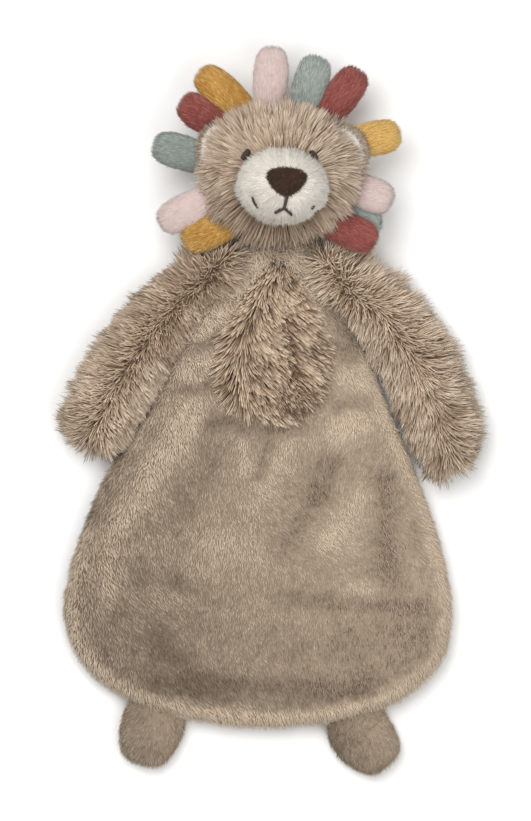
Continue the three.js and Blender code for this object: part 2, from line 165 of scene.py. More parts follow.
def pileMaterial(name, look):
    material = bpy.data.materials.new(name)
    material.use_nodes = True
    tree = material.node_tree
    shader = tree.nodes["Principled BSDF"]
    strandMap = addNode(tree, "ShaderNodeUVMap", uv_map="OFBake")  # across it the strand's shade, up it root to tip
    split = addNode(tree, "ShaderNodeSeparateXYZ", {0: strandMap.outputs[0]})
    ramps = {}
    for shade in ("dark", "light"):
        ramp = addNode(tree, "ShaderNodeValToRGB", {0: split.outputs["Y"]})
        root, middle, tip = look[shade]
        ramp.color_ramp.elements[0].color = linear(root)
        ramp.color_ramp.elements[1].color = linear(tip)
        ramp.color_ramp.elements.new(0.5).color = linear(middle)
        ramps[shade] = ramp.outputs["Color"]
    mix = addNode(
        tree, "ShaderNodeMix", {0: split.outputs["X"], 6: ramps["dark"], 7: ramps["light"]}, data_type="RGBA")
    tree.links.new(mix.outputs[2], shader.inputs["Base Color"])
    atRoot, atTip = pileRoughness
    worn = addNode(tree, "ShaderNodeMapRange", {"Value": split.outputs["Y"], "To Min": atRoot, "To Max": atTip})
    tree.links.new(worn.outputs[0], shader.inputs["Roughness"])
    for socket, value in pileFinish.items():
        shader.inputs[socket].default_value = value
    return material


piles = {name: pileMaterial(name, look) for name, look in pileLooks.items()}


# a strand one unit long and one wide: a spike with a ring at each bend, and its own part of the colour map
strandForm = {"sides": 3, "rooted": 0.05, "mapWide": 0.012, "mapFoot": 0.02, "mapRun": 0.96}


def strand(name, rings):
    bm = bmesh.new()
    start = bmesh.ops.create_circle(bm, segments=strandForm["sides"], radius=0.5)["verts"]
    bmesh.ops.translate(bm, verts=start, vec=(0, 0, -strandForm["rooted"]))
    edges = list(bm.edges)
    for height, width in rings:
        grown = bmesh.ops.extrude_edge_only(bm, edges=edges)["geom"]
        verts = [g for g in grown if isinstance(g, bmesh.types.BMVert)]
        edges = [g for g in grown if isinstance(g, bmesh.types.BMEdge)]
        for v in verts:
            flat = Vector((v.co.x, v.co.y, 0)).normalized() * width / 2
            v.co = (flat.x, flat.y, height)
    bmesh.ops.pointmerge(bm, verts=verts, merge_co=(0, 0, 1))
    bmesh.ops.recalc_face_normals(bm, faces=bm.faces)
    strandMap = bm.loops.layers.uv.new("OFBake")
    along = bm.verts.layers.float.new("along")
    for v in bm.verts:
        v[along] = max(v.co.z, 0)
    for face in bm.faces:
        face.smooth = True
        for loop in face.loops:
            up = strandForm["mapFoot"] + strandForm["mapRun"] * loop.vert[along]
            loop[strandMap].uv = (strandForm["mapWide"] * loop.vert.co.x, up)
    mesh = bpy.data.meshes.new(name)
    bm.to_mesh(mesh)
    bm.free()
    return bpy.data.objects.new(name, mesh)


longStrand = strand("longStrand", [(0.85, 0.95), (1, 0.3)])
shortStrand = strand("shortStrand", [(1, 0.3)])


# a pile's own numbers, the lengths among them in millimetres
pileLengths = ("spacing", "width", "lock")
pileNumbers = ("stand", "mess", "gather", "sway", "bend", "contrast", "lockContrast", "soft")
# what all piles share: strands stand in locks, and locks in tufts
lockForm = {
    "packed": 1.6, "tuftScale": 0.36, "lengths": (0.86, 1.04), "middleLonger": 0.35, "lockGapShade": 1.3,
    "lockShade": 0.45, "tuftShade": 0.55, "lockSwing": 0.35, "tuftSwing": 0.65, "mapEdges": (0.015, 0.985),
    "offTable": 0.2,
}


def pileGroup():
    group = bpy.data.node_groups.new("plushPile", "GeometryNodeTree")
    sockets = {"skin": "Geometry", "strand": "Object", "seed": "Int", "material": "Material"}
    sockets.update(dict.fromkeys(pileLengths + pileNumbers, "Float"))
    for name, kind in sockets.items():
        group.interface.new_socket(name, in_out="INPUT", socket_type="NodeSocket" + kind)
    group.interface.new_socket("Plush", in_out="OUTPUT", socket_type="NodeSocketGeometry")
    given = addNode(group, "NodeGroupInput").outputs

    def scalar(kind, a, b=0.0):
        return addNode(group, "ShaderNodeMath", {0: a, 1: b}, operation=kind).outputs[0]

    def vector(kind, a, b=(0, 0, 0)):
        return addNode(group, "ShaderNodeVectorMath", {0: a, 1: b}, operation=kind).outputs[0]

    def scaled(a, b):
        return addNode(group, "ShaderNodeVectorMath", {0: a, 3: b}, operation="SCALE").outputs[0]

    def stored(name, kind):
        return addNode(group, "GeometryNodeInputNamedAttribute", {"Name": name}, data_type=kind).outputs[0]

    def anyNumber(low, high, extra):
        seed = scalar("ADD", given["seed"], extra)
        return addNode(group, "FunctionNodeRandomValue", {2: low, 3: high, "Seed": seed}, data_type="FLOAT").outputs[1]

    def keep(shape, name, kind, value, domain="POINT"):
        sockets = {"Geometry": shape, "Name": name, "Value": value}
        return addNode(group, "GeometryNodeStoreNamedAttribute", sockets, data_type=kind, domain=domain).outputs[0]

    # roots, no two closer than the spacing
    closest = scalar("MULTIPLY", given["spacing"], given["spacing"])
    roots = addNode(group, "GeometryNodeDistributePointsOnFaces", {
        "Mesh": given["skin"], "Distance Min": given["spacing"], "Seed": given["seed"],
        "Density Max": scalar("DIVIDE", lockForm["packed"], closest), "Density Factor": stored("cover", "FLOAT")},
        distribute_method="POISSON")
    toss = addNode(group, "FunctionNodeRandomValue", {0: (-1, -1, -1), 1: (1, 1, 1), "Seed": given["seed"]},
                   data_type="FLOAT_VECTOR").outputs[0]
    leaning = vector("ADD", scaled(roots.outputs["Normal"], given["stand"]), stored("lie", "FLOAT_VECTOR"))
    leaning = vector("ADD", leaning, scaled(toss, scalar("MULTIPLY", given["mess"], stored("toss", "FLOAT"))))
    turn = addNode(group, "FunctionNodeAlignRotationToVector", {"Vector": leaning}, axis="Z").outputs[0]
    roll = addNode(group, "ShaderNodeCombineXYZ", {2: anyNumber(0.0, math.tau, 11)}).outputs[0]
    turn = addNode(group, "FunctionNodeRotateRotation", {0: turn, 1: roll}, rotation_space="LOCAL").outputs[0]
    here = addNode(group, "GeometryNodeInputPosition").outputs[0]
    lockScale = scalar("DIVIDE", 1.0, given["lock"])
    tuftScale = scalar("DIVIDE", lockForm["tuftScale"], given["lock"])
    inner = addNode(group, "ShaderNodeTexVoronoi", {"Vector": here, "Scale": lockScale}).outputs["Distance"]
    inner = scalar("SUBTRACT", 0.5, inner)  # a lock's middle strands are paler and longer than those round them
    length = scalar("MULTIPLY", stored("pile", "FLOAT"), anyNumber(*lockForm["lengths"], 12))
    length = scalar("MULTIPLY", length, scalar("ADD", 1.0, scalar("MULTIPLY", inner, lockForm["middleLonger"])))
    size = addNode(group, "ShaderNodeCombineXYZ", {0: given["width"], 1: given["width"], 2: length}).outputs[0]
    shade = scalar("MULTIPLY", anyNumber(-0.5, 0.5, 13), given["contrast"])
    # painted shade: a lock's outer strands are darkened as in the gaps between locks, and its middle ones made paler
    paler = scalar("MULTIPLY", inner, lockForm["lockGapShade"])
    shade = scalar("ADD", shade, scalar("MULTIPLY", paler, given["lockContrast"]))
    for scale, share in ((lockScale, lockForm["lockShade"]), (tuftScale, lockForm["tuftShade"])):
        own = addNode(group, "ShaderNodeTexVoronoi", {"Vector": here, "Scale": scale}).outputs["Color"]
        own = scalar("SUBTRACT", addNode(group, "ShaderNodeSeparateXYZ", {0: own}).outputs[0], 0.5)
        shade = scalar("ADD", shade, scalar("MULTIPLY", scalar("MULTIPLY", own, share), given["lockContrast"]))
    shade = scalar("ADD", shade, stored("tone", "FLOAT"))
    points = keep(roots.outputs["Points"], "shade", "FLOAT", shade)
    points = keep(points, "root", "FLOAT_VECTOR", here)
    points = keep(points, "facing", "FLOAT_VECTOR", roots.outputs["Normal"])
    spike = addNode(group, "GeometryNodeObjectInfo", {"Object": given["strand"]}).outputs["Geometry"]
    strands = addNode(group, "GeometryNodeInstanceOnPoints", {
        "Points": points, "Instance": spike, "Rotation": turn, "Scale": size}).outputs[0]
    strands = addNode(group, "GeometryNodeRealizeInstances", {0: strands}).outputs[0]

    # strands of one lock run together towards their tips, and each tuft of locks leans its own way
    root = stored("root", "FLOAT_VECTOR")
    cell = addNode(group, "ShaderNodeTexVoronoi", {"Vector": root, "Scale": lockScale})
    along = stored("along", "FLOAT")
    late = scalar("MULTIPLY", along, along)
    pull = scaled(vector("SUBTRACT", cell.outputs["Position"], root), scalar("MULTIPLY", late, given["gather"]))
    tuft = addNode(group, "ShaderNodeTexVoronoi", {"Vector": root, "Scale": tuftScale}).outputs["Color"]
    swing = vector("ADD", scaled(tuft, lockForm["tuftSwing"]), scaled(cell.outputs["Color"], lockForm["lockSwing"]))
    swing = vector("SUBTRACT", swing, (0.5, 0.5, 0.5))
    swing = scaled(swing, scalar("MULTIPLY", scalar("MULTIPLY", late, given["sway"]), stored("pile", "FLOAT")))
    bend = scalar("MULTIPLY", scalar("MULTIPLY", late, given["bend"]), stored("pile", "FLOAT"))
    droop = scaled(stored("lie", "FLOAT_VECTOR"), bend)
    strands = addNode(group, "GeometryNodeSetPosition", {
        "Geometry": strands, "Offset": vector("ADD", vector("ADD", pull, swing), droop)}).outputs[0]

    own = addNode(group, "ShaderNodeSeparateXYZ", {0: stored("OFBake", "FLOAT_VECTOR")})
    least, most = lockForm["mapEdges"]
    across = addNode(group, "ShaderNodeClamp", {
        "Value": scalar("ADD", stored("shade", "FLOAT"), own.outputs[0]), "Min": least, "Max": most}).outputs[0]
    placed = addNode(group, "ShaderNodeCombineXYZ", {0: across, 1: own.outputs[1]}).outputs[0]
    strands = keep(strands, "OFBake", "FLOAT2", placed, "CORNER")
    facing = addNode(group, "ShaderNodeMix", {  # lit partly as the skin under them
        0: given["soft"], 4: addNode(group, "GeometryNodeInputNormal").outputs[0], 5: stored("facing", "FLOAT_VECTOR")},
        data_type="VECTOR").outputs[1]
    strands = addNode(
        group, "GeometryNodeSetMeshNormal", {0: strands, 1: facing}, mode="FREE", domain="POINT").outputs[0]
    plush = addNode(group, "GeometryNodeJoinGeometry", {0: strands})
    group.links.new(given["skin"], plush.inputs[0])

    # nothing sinks into the table
    spot = addNode(group, "ShaderNodeSeparateXYZ", {0: addNode(group, "GeometryNodeInputPosition").outputs[0]})
    height = scalar("MAXIMUM", spot.outputs[2], lockForm["offTable"] * mm)
    above = addNode(group, "ShaderNodeCombineXYZ", {0: spot.outputs[0], 1: spot.outputs[1], 2: height}).outputs[0]
    plush = addNode(group, "GeometryNodeSetPosition", {"Geometry": plush.outputs[0], "Position": above}).outputs[0]
    plush = addNode(group, "GeometryNodeSetMaterial", {"Geometry": plush, "Material": given["material"]}).outputs[0]
    addNode(group, "NodeGroupOutput", {0: plush})
    return group


plushPile = pileGroup()


def applied(piece):  # the piece with its modifiers made real
    graph = bpy.context.evaluated_depsgraph_get()
    mesh = bpy.data.meshes.new_from_object(piece.evaluated_get(graph))
    piece.modifiers.clear()
    old = piece.data
    piece.data = mesh
    bpy.data.meshes.remove(old)
    mesh.name = piece.name


def newPiece(name, bm):
    mesh = bpy.data.meshes.new(name)
    for face in bm.faces:
        face.smooth = True
    bm.to_mesh(mesh)
    bm.free()
    piece = bpy.data.objects.new(name, mesh)
    scene.collection.objects.link(piece)
    return piece


# the skin shows the roots' colour: where it starts in the colour map, and how far it runs
skinShade = {"across": (0.1, 0.6), "up": (0.02, 0.1)}


# comb gives, at a point of the skin, which way the pile lies, its length, shade and cover, and how tossed it is
def growPile(piece, pile, comb):
    mesh = piece.data
    combed = {"lie": "FLOAT_VECTOR", "pile": "FLOAT", "tone": "FLOAT", "cover": "FLOAT", "toss": "FLOAT"}
    for name, kind in combed.items():
        mesh.attributes.new(name, kind, "POINT")
    layers = {name: mesh.attributes[name].data for name in combed}
    low, top = (Vector(f(v.co[i] for v in mesh.vertices) for i in range(3)) for f in (min, max))
    span = top - low
    for v in mesh.vertices:
        lie, length, tone, cover, toss = comb(v.co, v.normal)
        layers["lie"][v.index].vector = lie - v.normal * lie.dot(v.normal)
        for name, value in (("pile", length * mm), ("tone", tone), ("cover", cover), ("toss", toss)):
            layers[name][v.index].value = value
    skinMap = mesh.uv_layers.new(name="OFBake")
    (across, wide), (up, high) = skinShade["across"], skinShade["up"]
    for loop in mesh.loops:
        at = mesh.vertices[loop.vertex_index].co - low
        skinMap.data[loop.index].uv = (
            across + wide * (at.x + at.z) / (span.x + span.z), up + high * (at.y + at.z) / (span.y + span.z))
    grow = piece.modifiers.new("pile", "NODES")
    grow.node_group = plushPile
    values = {**pile, "material": piles[pile["look"]]}
    values.update((name, pile[name] * mm) for name in pileLengths)
    for socket in plushPile.interface.items_tree:
        if socket.in_out == "INPUT" and socket.name in values:
            grow[socket.identifier] = values[socket.name]
    applied(piece)
    mesh = piece.data
    for name in (*combed, "shade", "root", "facing", "along"):
        if name in mesh.attributes:
            mesh.attributes.remove(mesh.attributes[name])
    print(piece.name, "pile grown,", len(mesh.polygons), "faces")


def fixOn(piece, body, slot, *nodes):
    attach(piece, body)
    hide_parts(*nodes)


def sewOn(piece, body, slot, fill, *nodes):
    fixOn(piece, body, slot, *nodes)


def ripple(co, size, seed):  # smooth noise from -1 to 1, with bumps of a size in millimetres
    return noise.noise(co / (size * mm) + Vector((seed * 7.3, seed * 3.1, seed * 5.7)))


def fade(distance, width):  # 1 on a line, and less and less further off
    return math.exp(-(distance / width) ** 2)


def rising(value, run):  # 0 up to nought, then evenly up to 1
    return min(max(value, 0) / run, 1)


def polyline(points):  # a place on it by share of its length, and the way it runs there
    lengths = [0]
    for a, b in zip(points, points[1:]):
        lengths.append(lengths[-1] + (b - a).length)

    def at(share):
        want = rising(share, 1) * lengths[-1]
        k = next((i for i in range(1, len(lengths) - 1) if lengths[i] >= want), len(lengths) - 1)
        a, b = points[k - 1], points[k]
        part = (want - lengths[k - 1]) / max(lengths[k] - lengths[k - 1], 1e-9)
        return a.lerp(b, part), (b - a).normalized()

    return at


def bezier(*controls, steps=24):
    a, b, c, d = (Vector(p).to_3d() * mm for p in controls)
    return geometry.interpolate_bezier(a, b, c, d, steps)


def closedOutline(half):  # from its right half, which runs from the bottom to the top on the middle line
    mirrored = [Vector((-p.x, p.y, p.z)) for p in reversed(half)]
    return polyline(half + mirrored[1:])


def evenSphere(form):  # with its faces sorted: they come in another order each run, and the pile with them
    loose = bmesh.new()
    bmesh.ops.create_uvsphere(loose, u_segments=form["round"], v_segments=form["rings"], radius=1)
    loose.verts.index_update()
    faces = []
    for face in loose.faces:
        corners = [v.index for v in face.verts]
        first = corners.index(min(corners))
        faces.append(corners[first:] + corners[:first])
    bm = bmesh.new()
    verts = [bm.verts.new(v.co) for v in loose.verts]
    for corners in sorted(faces):
        bm.faces.new([verts[k] for k in corners])
    loose.free()
    return bm


def cushion(form):  # inside an outline, crowned to front and back from its seam
    bm = evenSphere(form)
    for v in bm.verts:
        turn = math.atan2(v.co.y, v.co.x) / math.tau % 1
        edge, along = form["outline"](turn)
        edge = edge - Vector((along.y, -along.x, 0)) * form["inset"] * mm
        place = Vector(form["middle"]).to_3d() * mm
        place = place.lerp(edge, math.hypot(v.co.x, v.co.y))
        crown = form["front"] if v.co.z > 0 else form["back"]
        rise = math.copysign(abs(v.co.z) ** form["fullness"], v.co.z) * crown
        v.co = (place.x, place.y, (form["seam"] + rise) * mm)
    return bm


def limb(form):  # along a spine, with its half width and half depth at root and tip
    bm = evenSphere(form)
    for v in bm.verts:
        share = (1 - v.co.z) / 2
        point, along = form["spine"](share)
        sideways = along.cross(Vector((0, 0, 1))).normalized()
        spread = math.hypot(v.co.x, v.co.y) ** form["fullness"]
        turn = math.atan2(v.co.y, v.co.x)
        width, depth = (a + (b - a) * share for a, b in (form["width"], form["depth"]))
        point = point + sideways * width * mm * spread * math.cos(turn)
        v.co = point + Vector((0, 0, 1)) * depth * mm * spread * math.sin(turn)
    return bm


def ball(form):
    bm = bmesh.new()
    bmesh.ops.create_icosphere(bm, subdivisions=form["rounds"], radius=1)
    bmesh.ops.scale(bm, vec=Vector(form["radii"]) * mm, verts=bm.verts)
    bmesh.ops.translate(bm, vec=Vector(form["middle"]) * mm, verts=bm.verts)
    return bm


def fromLine(co, a, b):  # distance to a straight line seen from above, in millimetres
    a, b, c = Vector(a), Vector(b), co.xy / mm
    run = b - a
    share = rising((c - a).dot(run) / max(run.length_squared, 1e-9), 1)
    return (c - a - run * share).length


def puffUp(piece, cloth, seam):  # cloth with air in it and its seam held, then one subdivision
    even = piece.modifiers.new("even", "REMESH")
    even.mode = "VOXEL"
    even.voxel_size = cloth["voxel"] * mm
    applied(piece)
    mesh = piece.data
    flat = [v.co.copy() for v in mesh.vertices]
    held = piece.vertex_groups.new(name="seam")
    held.add([k for k, co in enumerate(flat) if seam(co) < cloth["held"]], 1, "REPLACE")
    mesh.transform(Matrix.Scale(cloth["bigger"], 4))  # the solver is steadier on a larger cloth
    air = piece.modifiers.new("air", "CLOTH")
    air.settings.use_pressure = True
    air.settings.uniform_pressure_force = cloth["pressure"]
    air.settings.shrink_min = cloth["shrink"]
    air.settings.vertex_group_mass = "seam"
    air.settings.effector_weights.gravity = 0
    for step in range(1, cloth["steps"] + 1):
        scene.frame_set(step)
    applied(piece)
    scene.frame_set(1)
    mesh = piece.data
    mesh.transform(Matrix.Scale(1 / cloth["bigger"], 4))
    for v, old in zip(mesh.vertices, flat):
        move = v.co - old
        v.co = old + move * min(1, cloth["most"] * mm / max(move.length, 1e-9))
        v.co.z = max(v.co.z, cloth["lowest"] * mm)
    finer = piece.modifiers.new("finer", "SUBSURF")
    finer.levels = finer.render_levels = 1
    applied(piece)
    piece.vertex_groups.clear()
    piece.data.polygons.foreach_set("use_smooth", [True] * len(piece.data.polygons))
    print(piece.name, "puffed up,", len(piece.data.vertices), "points")


# folds are lines, each with a width, and a rise; so are the marks of the nap's brushing and of painted light and shade,
# with how much lighter the nap is painted there
bodyForm = {
    "inset": -1.2, "middle": (0, -7), "seam": 5.5, "front": 5.6, "back": 4.6, "fullness": 0.6,
    "round": 160, "rings": 70,
    "outline": closedOutline(
        bezier((0, -83), (40, -83), (66, -69), (66, -45)) + bezier((66, -45), (66, -17), (20, 67), (14, 82))[1:]
        + bezier((14, 82), (9.3, 83.3), (4.7, 84), (0, 84))[1:]),
    "outlinePoints": 600, "lean": -1.5, "leanFrom": 60, "spread": 0.018, "spreadAt": -4, "spreadOver": 26,
    "cloth": {
        "voxel": 2.2, "bigger": 10, "pressure": 4, "shrink": -0.04, "steps": 20,
        "held": 2.5, "most": 2.5, "lowest": 0.4,
    },
    "tone": 0.54, "nap": 1.4, "backCover": 0.3,
    "neckFrom": 55, "neckRun": 22, "neckNap": 4.6, "neckPaintedLight": 0.4,
    "hemAt": 1.2, "hem": 2.8, "hemPaintedLight": 0.9, "hemFrom": -42, "hemRun": 25, "sideRoll": 0.15, "sidePaintedLight": 0.3,
    "hemRoll": 1.6, "hemRolls": [(2, 1.9, 1), (6.5, 2.5, -0.45)],  # up and down again: how far in, width, share
    "folds": [
        ((-32, 22), (-50, -16), 4, 1.5), ((-23, 8), (-30, -14), 5, -1.1), ((-9, 14), (-8, 4), 2.5, 0.8),
        ((8, 14), (-3, -8), 4, 1.1), ((22, 6), (8, -18), 4, -1.0), ((33, -2), (22, -18), 4, 1.2),
        ((40, 0), (41, -30), 4, -0.7), ((27, 26), (30, 16), 5, 1), ((-44, -34), (-22, -40), 4, -0.8),
        ((5, -39), (50, -41), 4, -0.7), ((28, -35), (36, -36), 3, 0.8), ((-20, -22), (20, -22), 7, 0.8),
    ],
    # the nap's brushing together with painted light and shade: painted shadows of the left arm and of the tummy patch,
    # and lit and shaded sides of folds
    "brushedNapAndPaintedLight": [
        ((-26, 25), (-38, 6), 5, 0.5), ((-38, 6), (-50, -16), 4.5, 0.48), ((-9, 14), (-8, 4), 2.2, 0.38),
        ((8, 15), (-4, -8), 4, 0.28), ((-18, -21), (-4, -24), 8, 0.28), ((33, -3), (22, -18), 4, 0.34),
        ((20, -19), (27, -17), 5, 0.2), ((24, 20), (31, 24), 5, 0.75), ((29, -36), (37, -36), 3, 0.34),
        ((-54, -20), (-53, -42), 3.5, 0.28), ((13, -48), (20, -50), 5, 0.12), ((-24, -31), (-12, -33), 4, 0.1),
        ((49, -14), (55, -34), 5, 0.12), ((-32, 47), (-43, 24), 2.2, -0.8), ((-43, 24), (-52.5, 9), 2.2, -0.8),
        ((-22, 8), (-30, -14), 6, -0.26), ((-20, 21), (12, 19), 3, -0.42), ((0, 14), (-2, 3), 2.2, -0.3),
        ((21, 8), (18, -2), 5, -0.27), ((18, -2), (8, -18), 3.5, -0.27), ((40, 2), (42, -30), 4, -0.36),
        ((-44, -34), (-30, -34), 4, -0.22), ((-30, -34), (-18, -40), 3, -0.14), ((6, -39), (56, -40), 3, -0.3),
        ((-50, -48), (-35, -58), 8, -0.2), ((-36, -58), (-16, -70), 6, -0.28), ((-36, -70), (36, -69), 4, -0.42),
        ((24, -53), (46, -48), 5.5, -0.22), ((-49.5, 9), (-60, -15), 2.6, -0.4), ((-60, -55), (-44, -66), 4, -0.12),
        ((38, -62), (54, -54), 7, -0.26), ((-30, -50), (10, -52), 7, -0.12), ((0, -20), (12, -22), 4, -0.14),
        ((24, 28), (33, 28), 2.5, -0.4), ((21, 47), (28, 45), 3, -0.35), ((0, -58), (12, -60), 6, -0.12),
        ((-30, 18), (-27, 6), 5, 0.3), ((9, 20), (14, 18), 3, 0.2), ((50, 2), (53, -14), 4, -0.16),
        ((47, -20), (53, -44), 8, -0.14), ((-25, 51), (-17, 57), 3, 0.4), ((-27, 46), (-19, 50), 2.5, -0.35),
        ((-30, 37), (-22, 42), 3.5, 0.4), ((-29, 31), (-21, 33), 2.5, -0.35), ((20, 62), (28, 50), 3.5, -0.65),
        ((26, 38), (30, 36), 4, 0.55),
    ],
    "pile": {
        "look": "shortTaupe", "strand": shortStrand, "spacing": 0.41, "width": 0.34, "stand": 0.48, "mess": 0.24,
        "lock": 0.85, "gather": 0.55, "sway": 0.4, "bend": 0.05, "contrast": 0.2, "lockContrast": 0.36, "soft": 0.5,
        "seed": 3,
    },
}


def makeBody():
    def laid(co):  # it lies a little to the left, and wider in the middle than it was cut
        co.x *= 1 + bodyForm["spread"] * fade(co.y / mm - bodyForm["spreadAt"], bodyForm["spreadOver"])
        co.x += bodyForm["lean"] * mm * rising(bodyForm["leanFrom"] - co.y / mm, bodyForm["leanFrom"])
        return co

    bm = cushion(bodyForm)
    for v in bm.verts:
        v.co = laid(v.co.copy())
    body = newPiece("bodyCloth", bm)
    points = bodyForm["outlinePoints"]
    outline = kdtree.KDTree(points)
    for k in range(points):
        outline.insert(laid(bodyForm["outline"](k / points)[0].copy()), k)
    outline.balance()

    def seam(co):  # how far in from the seam, in millimetres
        return outline.find(co.xy.to_3d())[2] / mm

    def atHem(co):  # 1 along the hem and 0 up the sides
        return rising(bodyForm["hemFrom"] - co.y / mm, bodyForm["hemRun"])

    puffUp(body, bodyForm["cloth"], seam)
    sideRoll = bodyForm["sideRoll"]
    for v in body.data.vertices:  # the folds it lies in, and the roll that its hem stands up in
        if v.normal.z > 0:
            rise = sum(lift * fade(fromLine(v.co, a, b), width) for a, b, width, lift in bodyForm["folds"])
            inward = seam(v.co)
            roll = sum(lift * fade(inward - place, width) for place, width, lift in bodyForm["hemRolls"])
            rise += bodyForm["hemRoll"] * roll * (sideRoll + (1 - sideRoll) * atHem(v.co))
            v.co.z += v.normal.z * rise * mm

    def comb(co, normal):
        lie = Vector((0.35 + 1.0 * ripple(co, 30, 1), -1, 0)).normalized()
        tone = bodyForm["tone"] + 0.1 * ripple(co, 22, 2) + 0.08 * ripple(co, 8, 3)
        for a, b, width, lift in bodyForm["brushedNapAndPaintedLight"]:
            tone += lift * fade(fromLine(co, a, b), width)
        brim = fade(seam(co) - bodyForm["hemAt"], bodyForm["hem"])
        neck = rising(co.y / mm - bodyForm["neckFrom"], bodyForm["neckRun"])
        length = bodyForm["nap"] * (1 + 0.4 * brim) + (bodyForm["neckNap"] - bodyForm["nap"]) * neck
        lie = lie + Vector((normal.x, normal.y, 0)) * brim
        # painted light along the hem roll, where its pile turns to the light; only a share of it up the sides
        low = bodyForm["sidePaintedLight"] + (1 - bodyForm["sidePaintedLight"]) * atHem(co) * (1 - 0.45 * rising(-20 - co.x / mm, 15))
        low = max(low, 0.55 * rising(co.x / mm - 25, 10))  # the hem's left end shows less pale, the right edge more
        # painted light on the neck, against the head's shadow, added to the hem's
        tone = tone + bodyForm["hemPaintedLight"] * brim * low + bodyForm["neckPaintedLight"] * neck
        return lie, length, tone, 1 if normal.z > -0.2 else bodyForm["backCover"], 1 + 1.5 * neck + brim

    growPile(body, bodyForm["pile"], comb)
    sewOn(body, "body", "short_pile", 0.25, "body_front_panel", "body_back_panel", "body_wadding")


tummyForm = {
    "inset": 2.6, "middle": (0, 39), "seam": 8, "front": 7.8, "back": 4, "fullness": 0.5, "round": 80, "rings": 40,
    "outline": closedOutline(
        bezier((0, 20), (12, 20), (20, 27), (20, 39)) + bezier((20, 39), (20, 51), (12, 80), (0, 80))[1:]),
    "parting": -11, "nap": 6.8, "highFrom": 52, "crease": ((2, 59), (6.5, 36)), "creaseWidth": 1.7,
    "hollow": ((3.9, 27.8), (9.4, 28.3)), "hollowWidth": 1.4, "wornAt": (5, 31), "wornHalf": (8, 7),
    "rimHalf": (17, 24),
    "pile": {
        "look": "tummyTaupe", "strand": longStrand, "spacing": 0.41, "width": 0.48, "stand": 0.62, "mess": 0.07,
        "lock": 1.25, "gather": 0.95, "sway": 0.36, "bend": 0.1, "contrast": 0.2, "lockContrast": 0.9, "soft": 0.25,
        "seed": 5,
    },
}


def makeTummy():
    patch = newPiece("tummyPatch", cushion(tummyForm))

    def comb(co, normal):
        x, y = co.x / mm, co.y / mm
        high = rising(y - tummyForm["highFrom"], 18)
        aside = (x - tummyForm["parting"] * (1 - high) + 2.5 * ripple(co, 10, 41)) / 5
        lie = Vector((max(-1, min(0.75, aside)), -0.7, 0)).normalized()
        crease = fade(fromLine(co, *tummyForm["crease"]), tummyForm["creaseWidth"])  # a second parting, on the right
        hollow = fade(fromLine(co, *tummyForm["hollow"]), tummyForm["hollowWidth"])
        bare = rising(-10.6 + max(y - 54, 0) * 0.49 - x, 3) * rising(y - tummyForm["highFrom"], 6)  # short, top left
        (wornX, wornY), (wornWide, wornHigh) = tummyForm["wornAt"], tummyForm["wornHalf"]
        worn = math.exp(-((x - wornX) / wornWide) ** 2 - ((y - wornY) / wornHigh) ** 2)  # rubbed up in the middle
        rimWide, rimHigh = tummyForm["rimHalf"]
        out = rising(math.hypot(x / rimWide, (y - 42) / rimHigh) - 0.75, 0.25)  # the rim falls outwards
        lie = lie * (1 - 0.5 * worn - 0.3 * crease) * (0.9 + 0.3 * ripple(co, 8, 42))
        lie = lie + Vector((x / rimWide, (y - 46) / 26, 0)) * 0.7 * out * (1 - high) + Vector((0, -0.5, 0)) * high
        # painted shade in the creased parting and in the hollow
        tone = 0.56 + 0.2 * ripple(co, 12, 4) - 0.12 * worn - 0.5 * crease - 0.5 * hollow + 0.2 * out
        tone = tone - 0.006 * x - 0.1 * high
        length = tummyForm["nap"] * (1 - 0.15 * worn - 0.3 * crease - 0.3 * hollow - 0.45 * high) * (1 - 0.6 * bare)
        return lie, length, tone, 1 if co.z > 8 * mm else 0, 1 + 1.5 * worn + 2 * high

    growPile(patch, tummyForm["pile"], comb)
    sewOn(patch, "body", "long_pile", 0.5, "tummy_patch")


headForm = {
    "middle": (0, 108, 21.5), "radii": (24.2, 19.4, 18.4), "rounds": 5,
    "faceHalf": (16, 13.3), "faceFrom": 26, "earReach": 15, "nap": 9, "faceNap": 6.5, "earNap": 8.0, "chinNap": 12.5,
    "pile": {
        "look": "longTaupe", "strand": longStrand, "spacing": 0.34, "width": 0.31, "stand": 0.32, "mess": 0.13,
        "lock": 1.6, "gather": 0.55, "sway": 0.6, "bend": 0.1, "contrast": 0.36, "lockContrast": 0.55, "soft": 0.45,
        "seed": 7,
    },
}
muzzleForm = {
    "middle": (1.0, 101.9, 38.5), "radii": (15.0, 12.3, 13.0), "rounds": 5, "flatter": 0.42, "nap": 2.5,
    "nose": (2.4, 103.0), "noseHalf": (6.9, 4.8), "noseNap": 0.9,
    "mouth": [
        [(3.1, 99.4), (2.5, 96.6), (1.9, 94.0)], [(-1.3, 92.2), (0.4, 93.2), (1.9, 94.0)],
        [(1.9, 94.0), (3.4, 93.0), (4.8, 91.7)]],
    "cheeks": {"left": [(-9.2, 97.7), (-8.4, 95.6), (-7.0, 93.7)], "right": [(12.2, 95.5), (11.8, 94.8), (11.2, 94.1)]},
    "stitchWidth": 1.8, "seamWidth": 1.1, "stitchLift": 0.35, "cheekStitch": 0.8,
    "seam": [(0.2, 113.6), (1.3, 110.6), (2.2, 107.6)], "stitch": 0.55, "tuck": 0.8,
    "pile": {
        "look": "cream", "strand": shortStrand, "spacing": 0.4, "width": 0.4, "stand": 0.55, "mess": 0.3, "lock": 1.3,
        "gather": 0.5, "sway": 0.6, "bend": 0.2, "contrast": 0.5, "lockContrast": 0.7, "soft": 0.55, "seed": 9,
    },
}


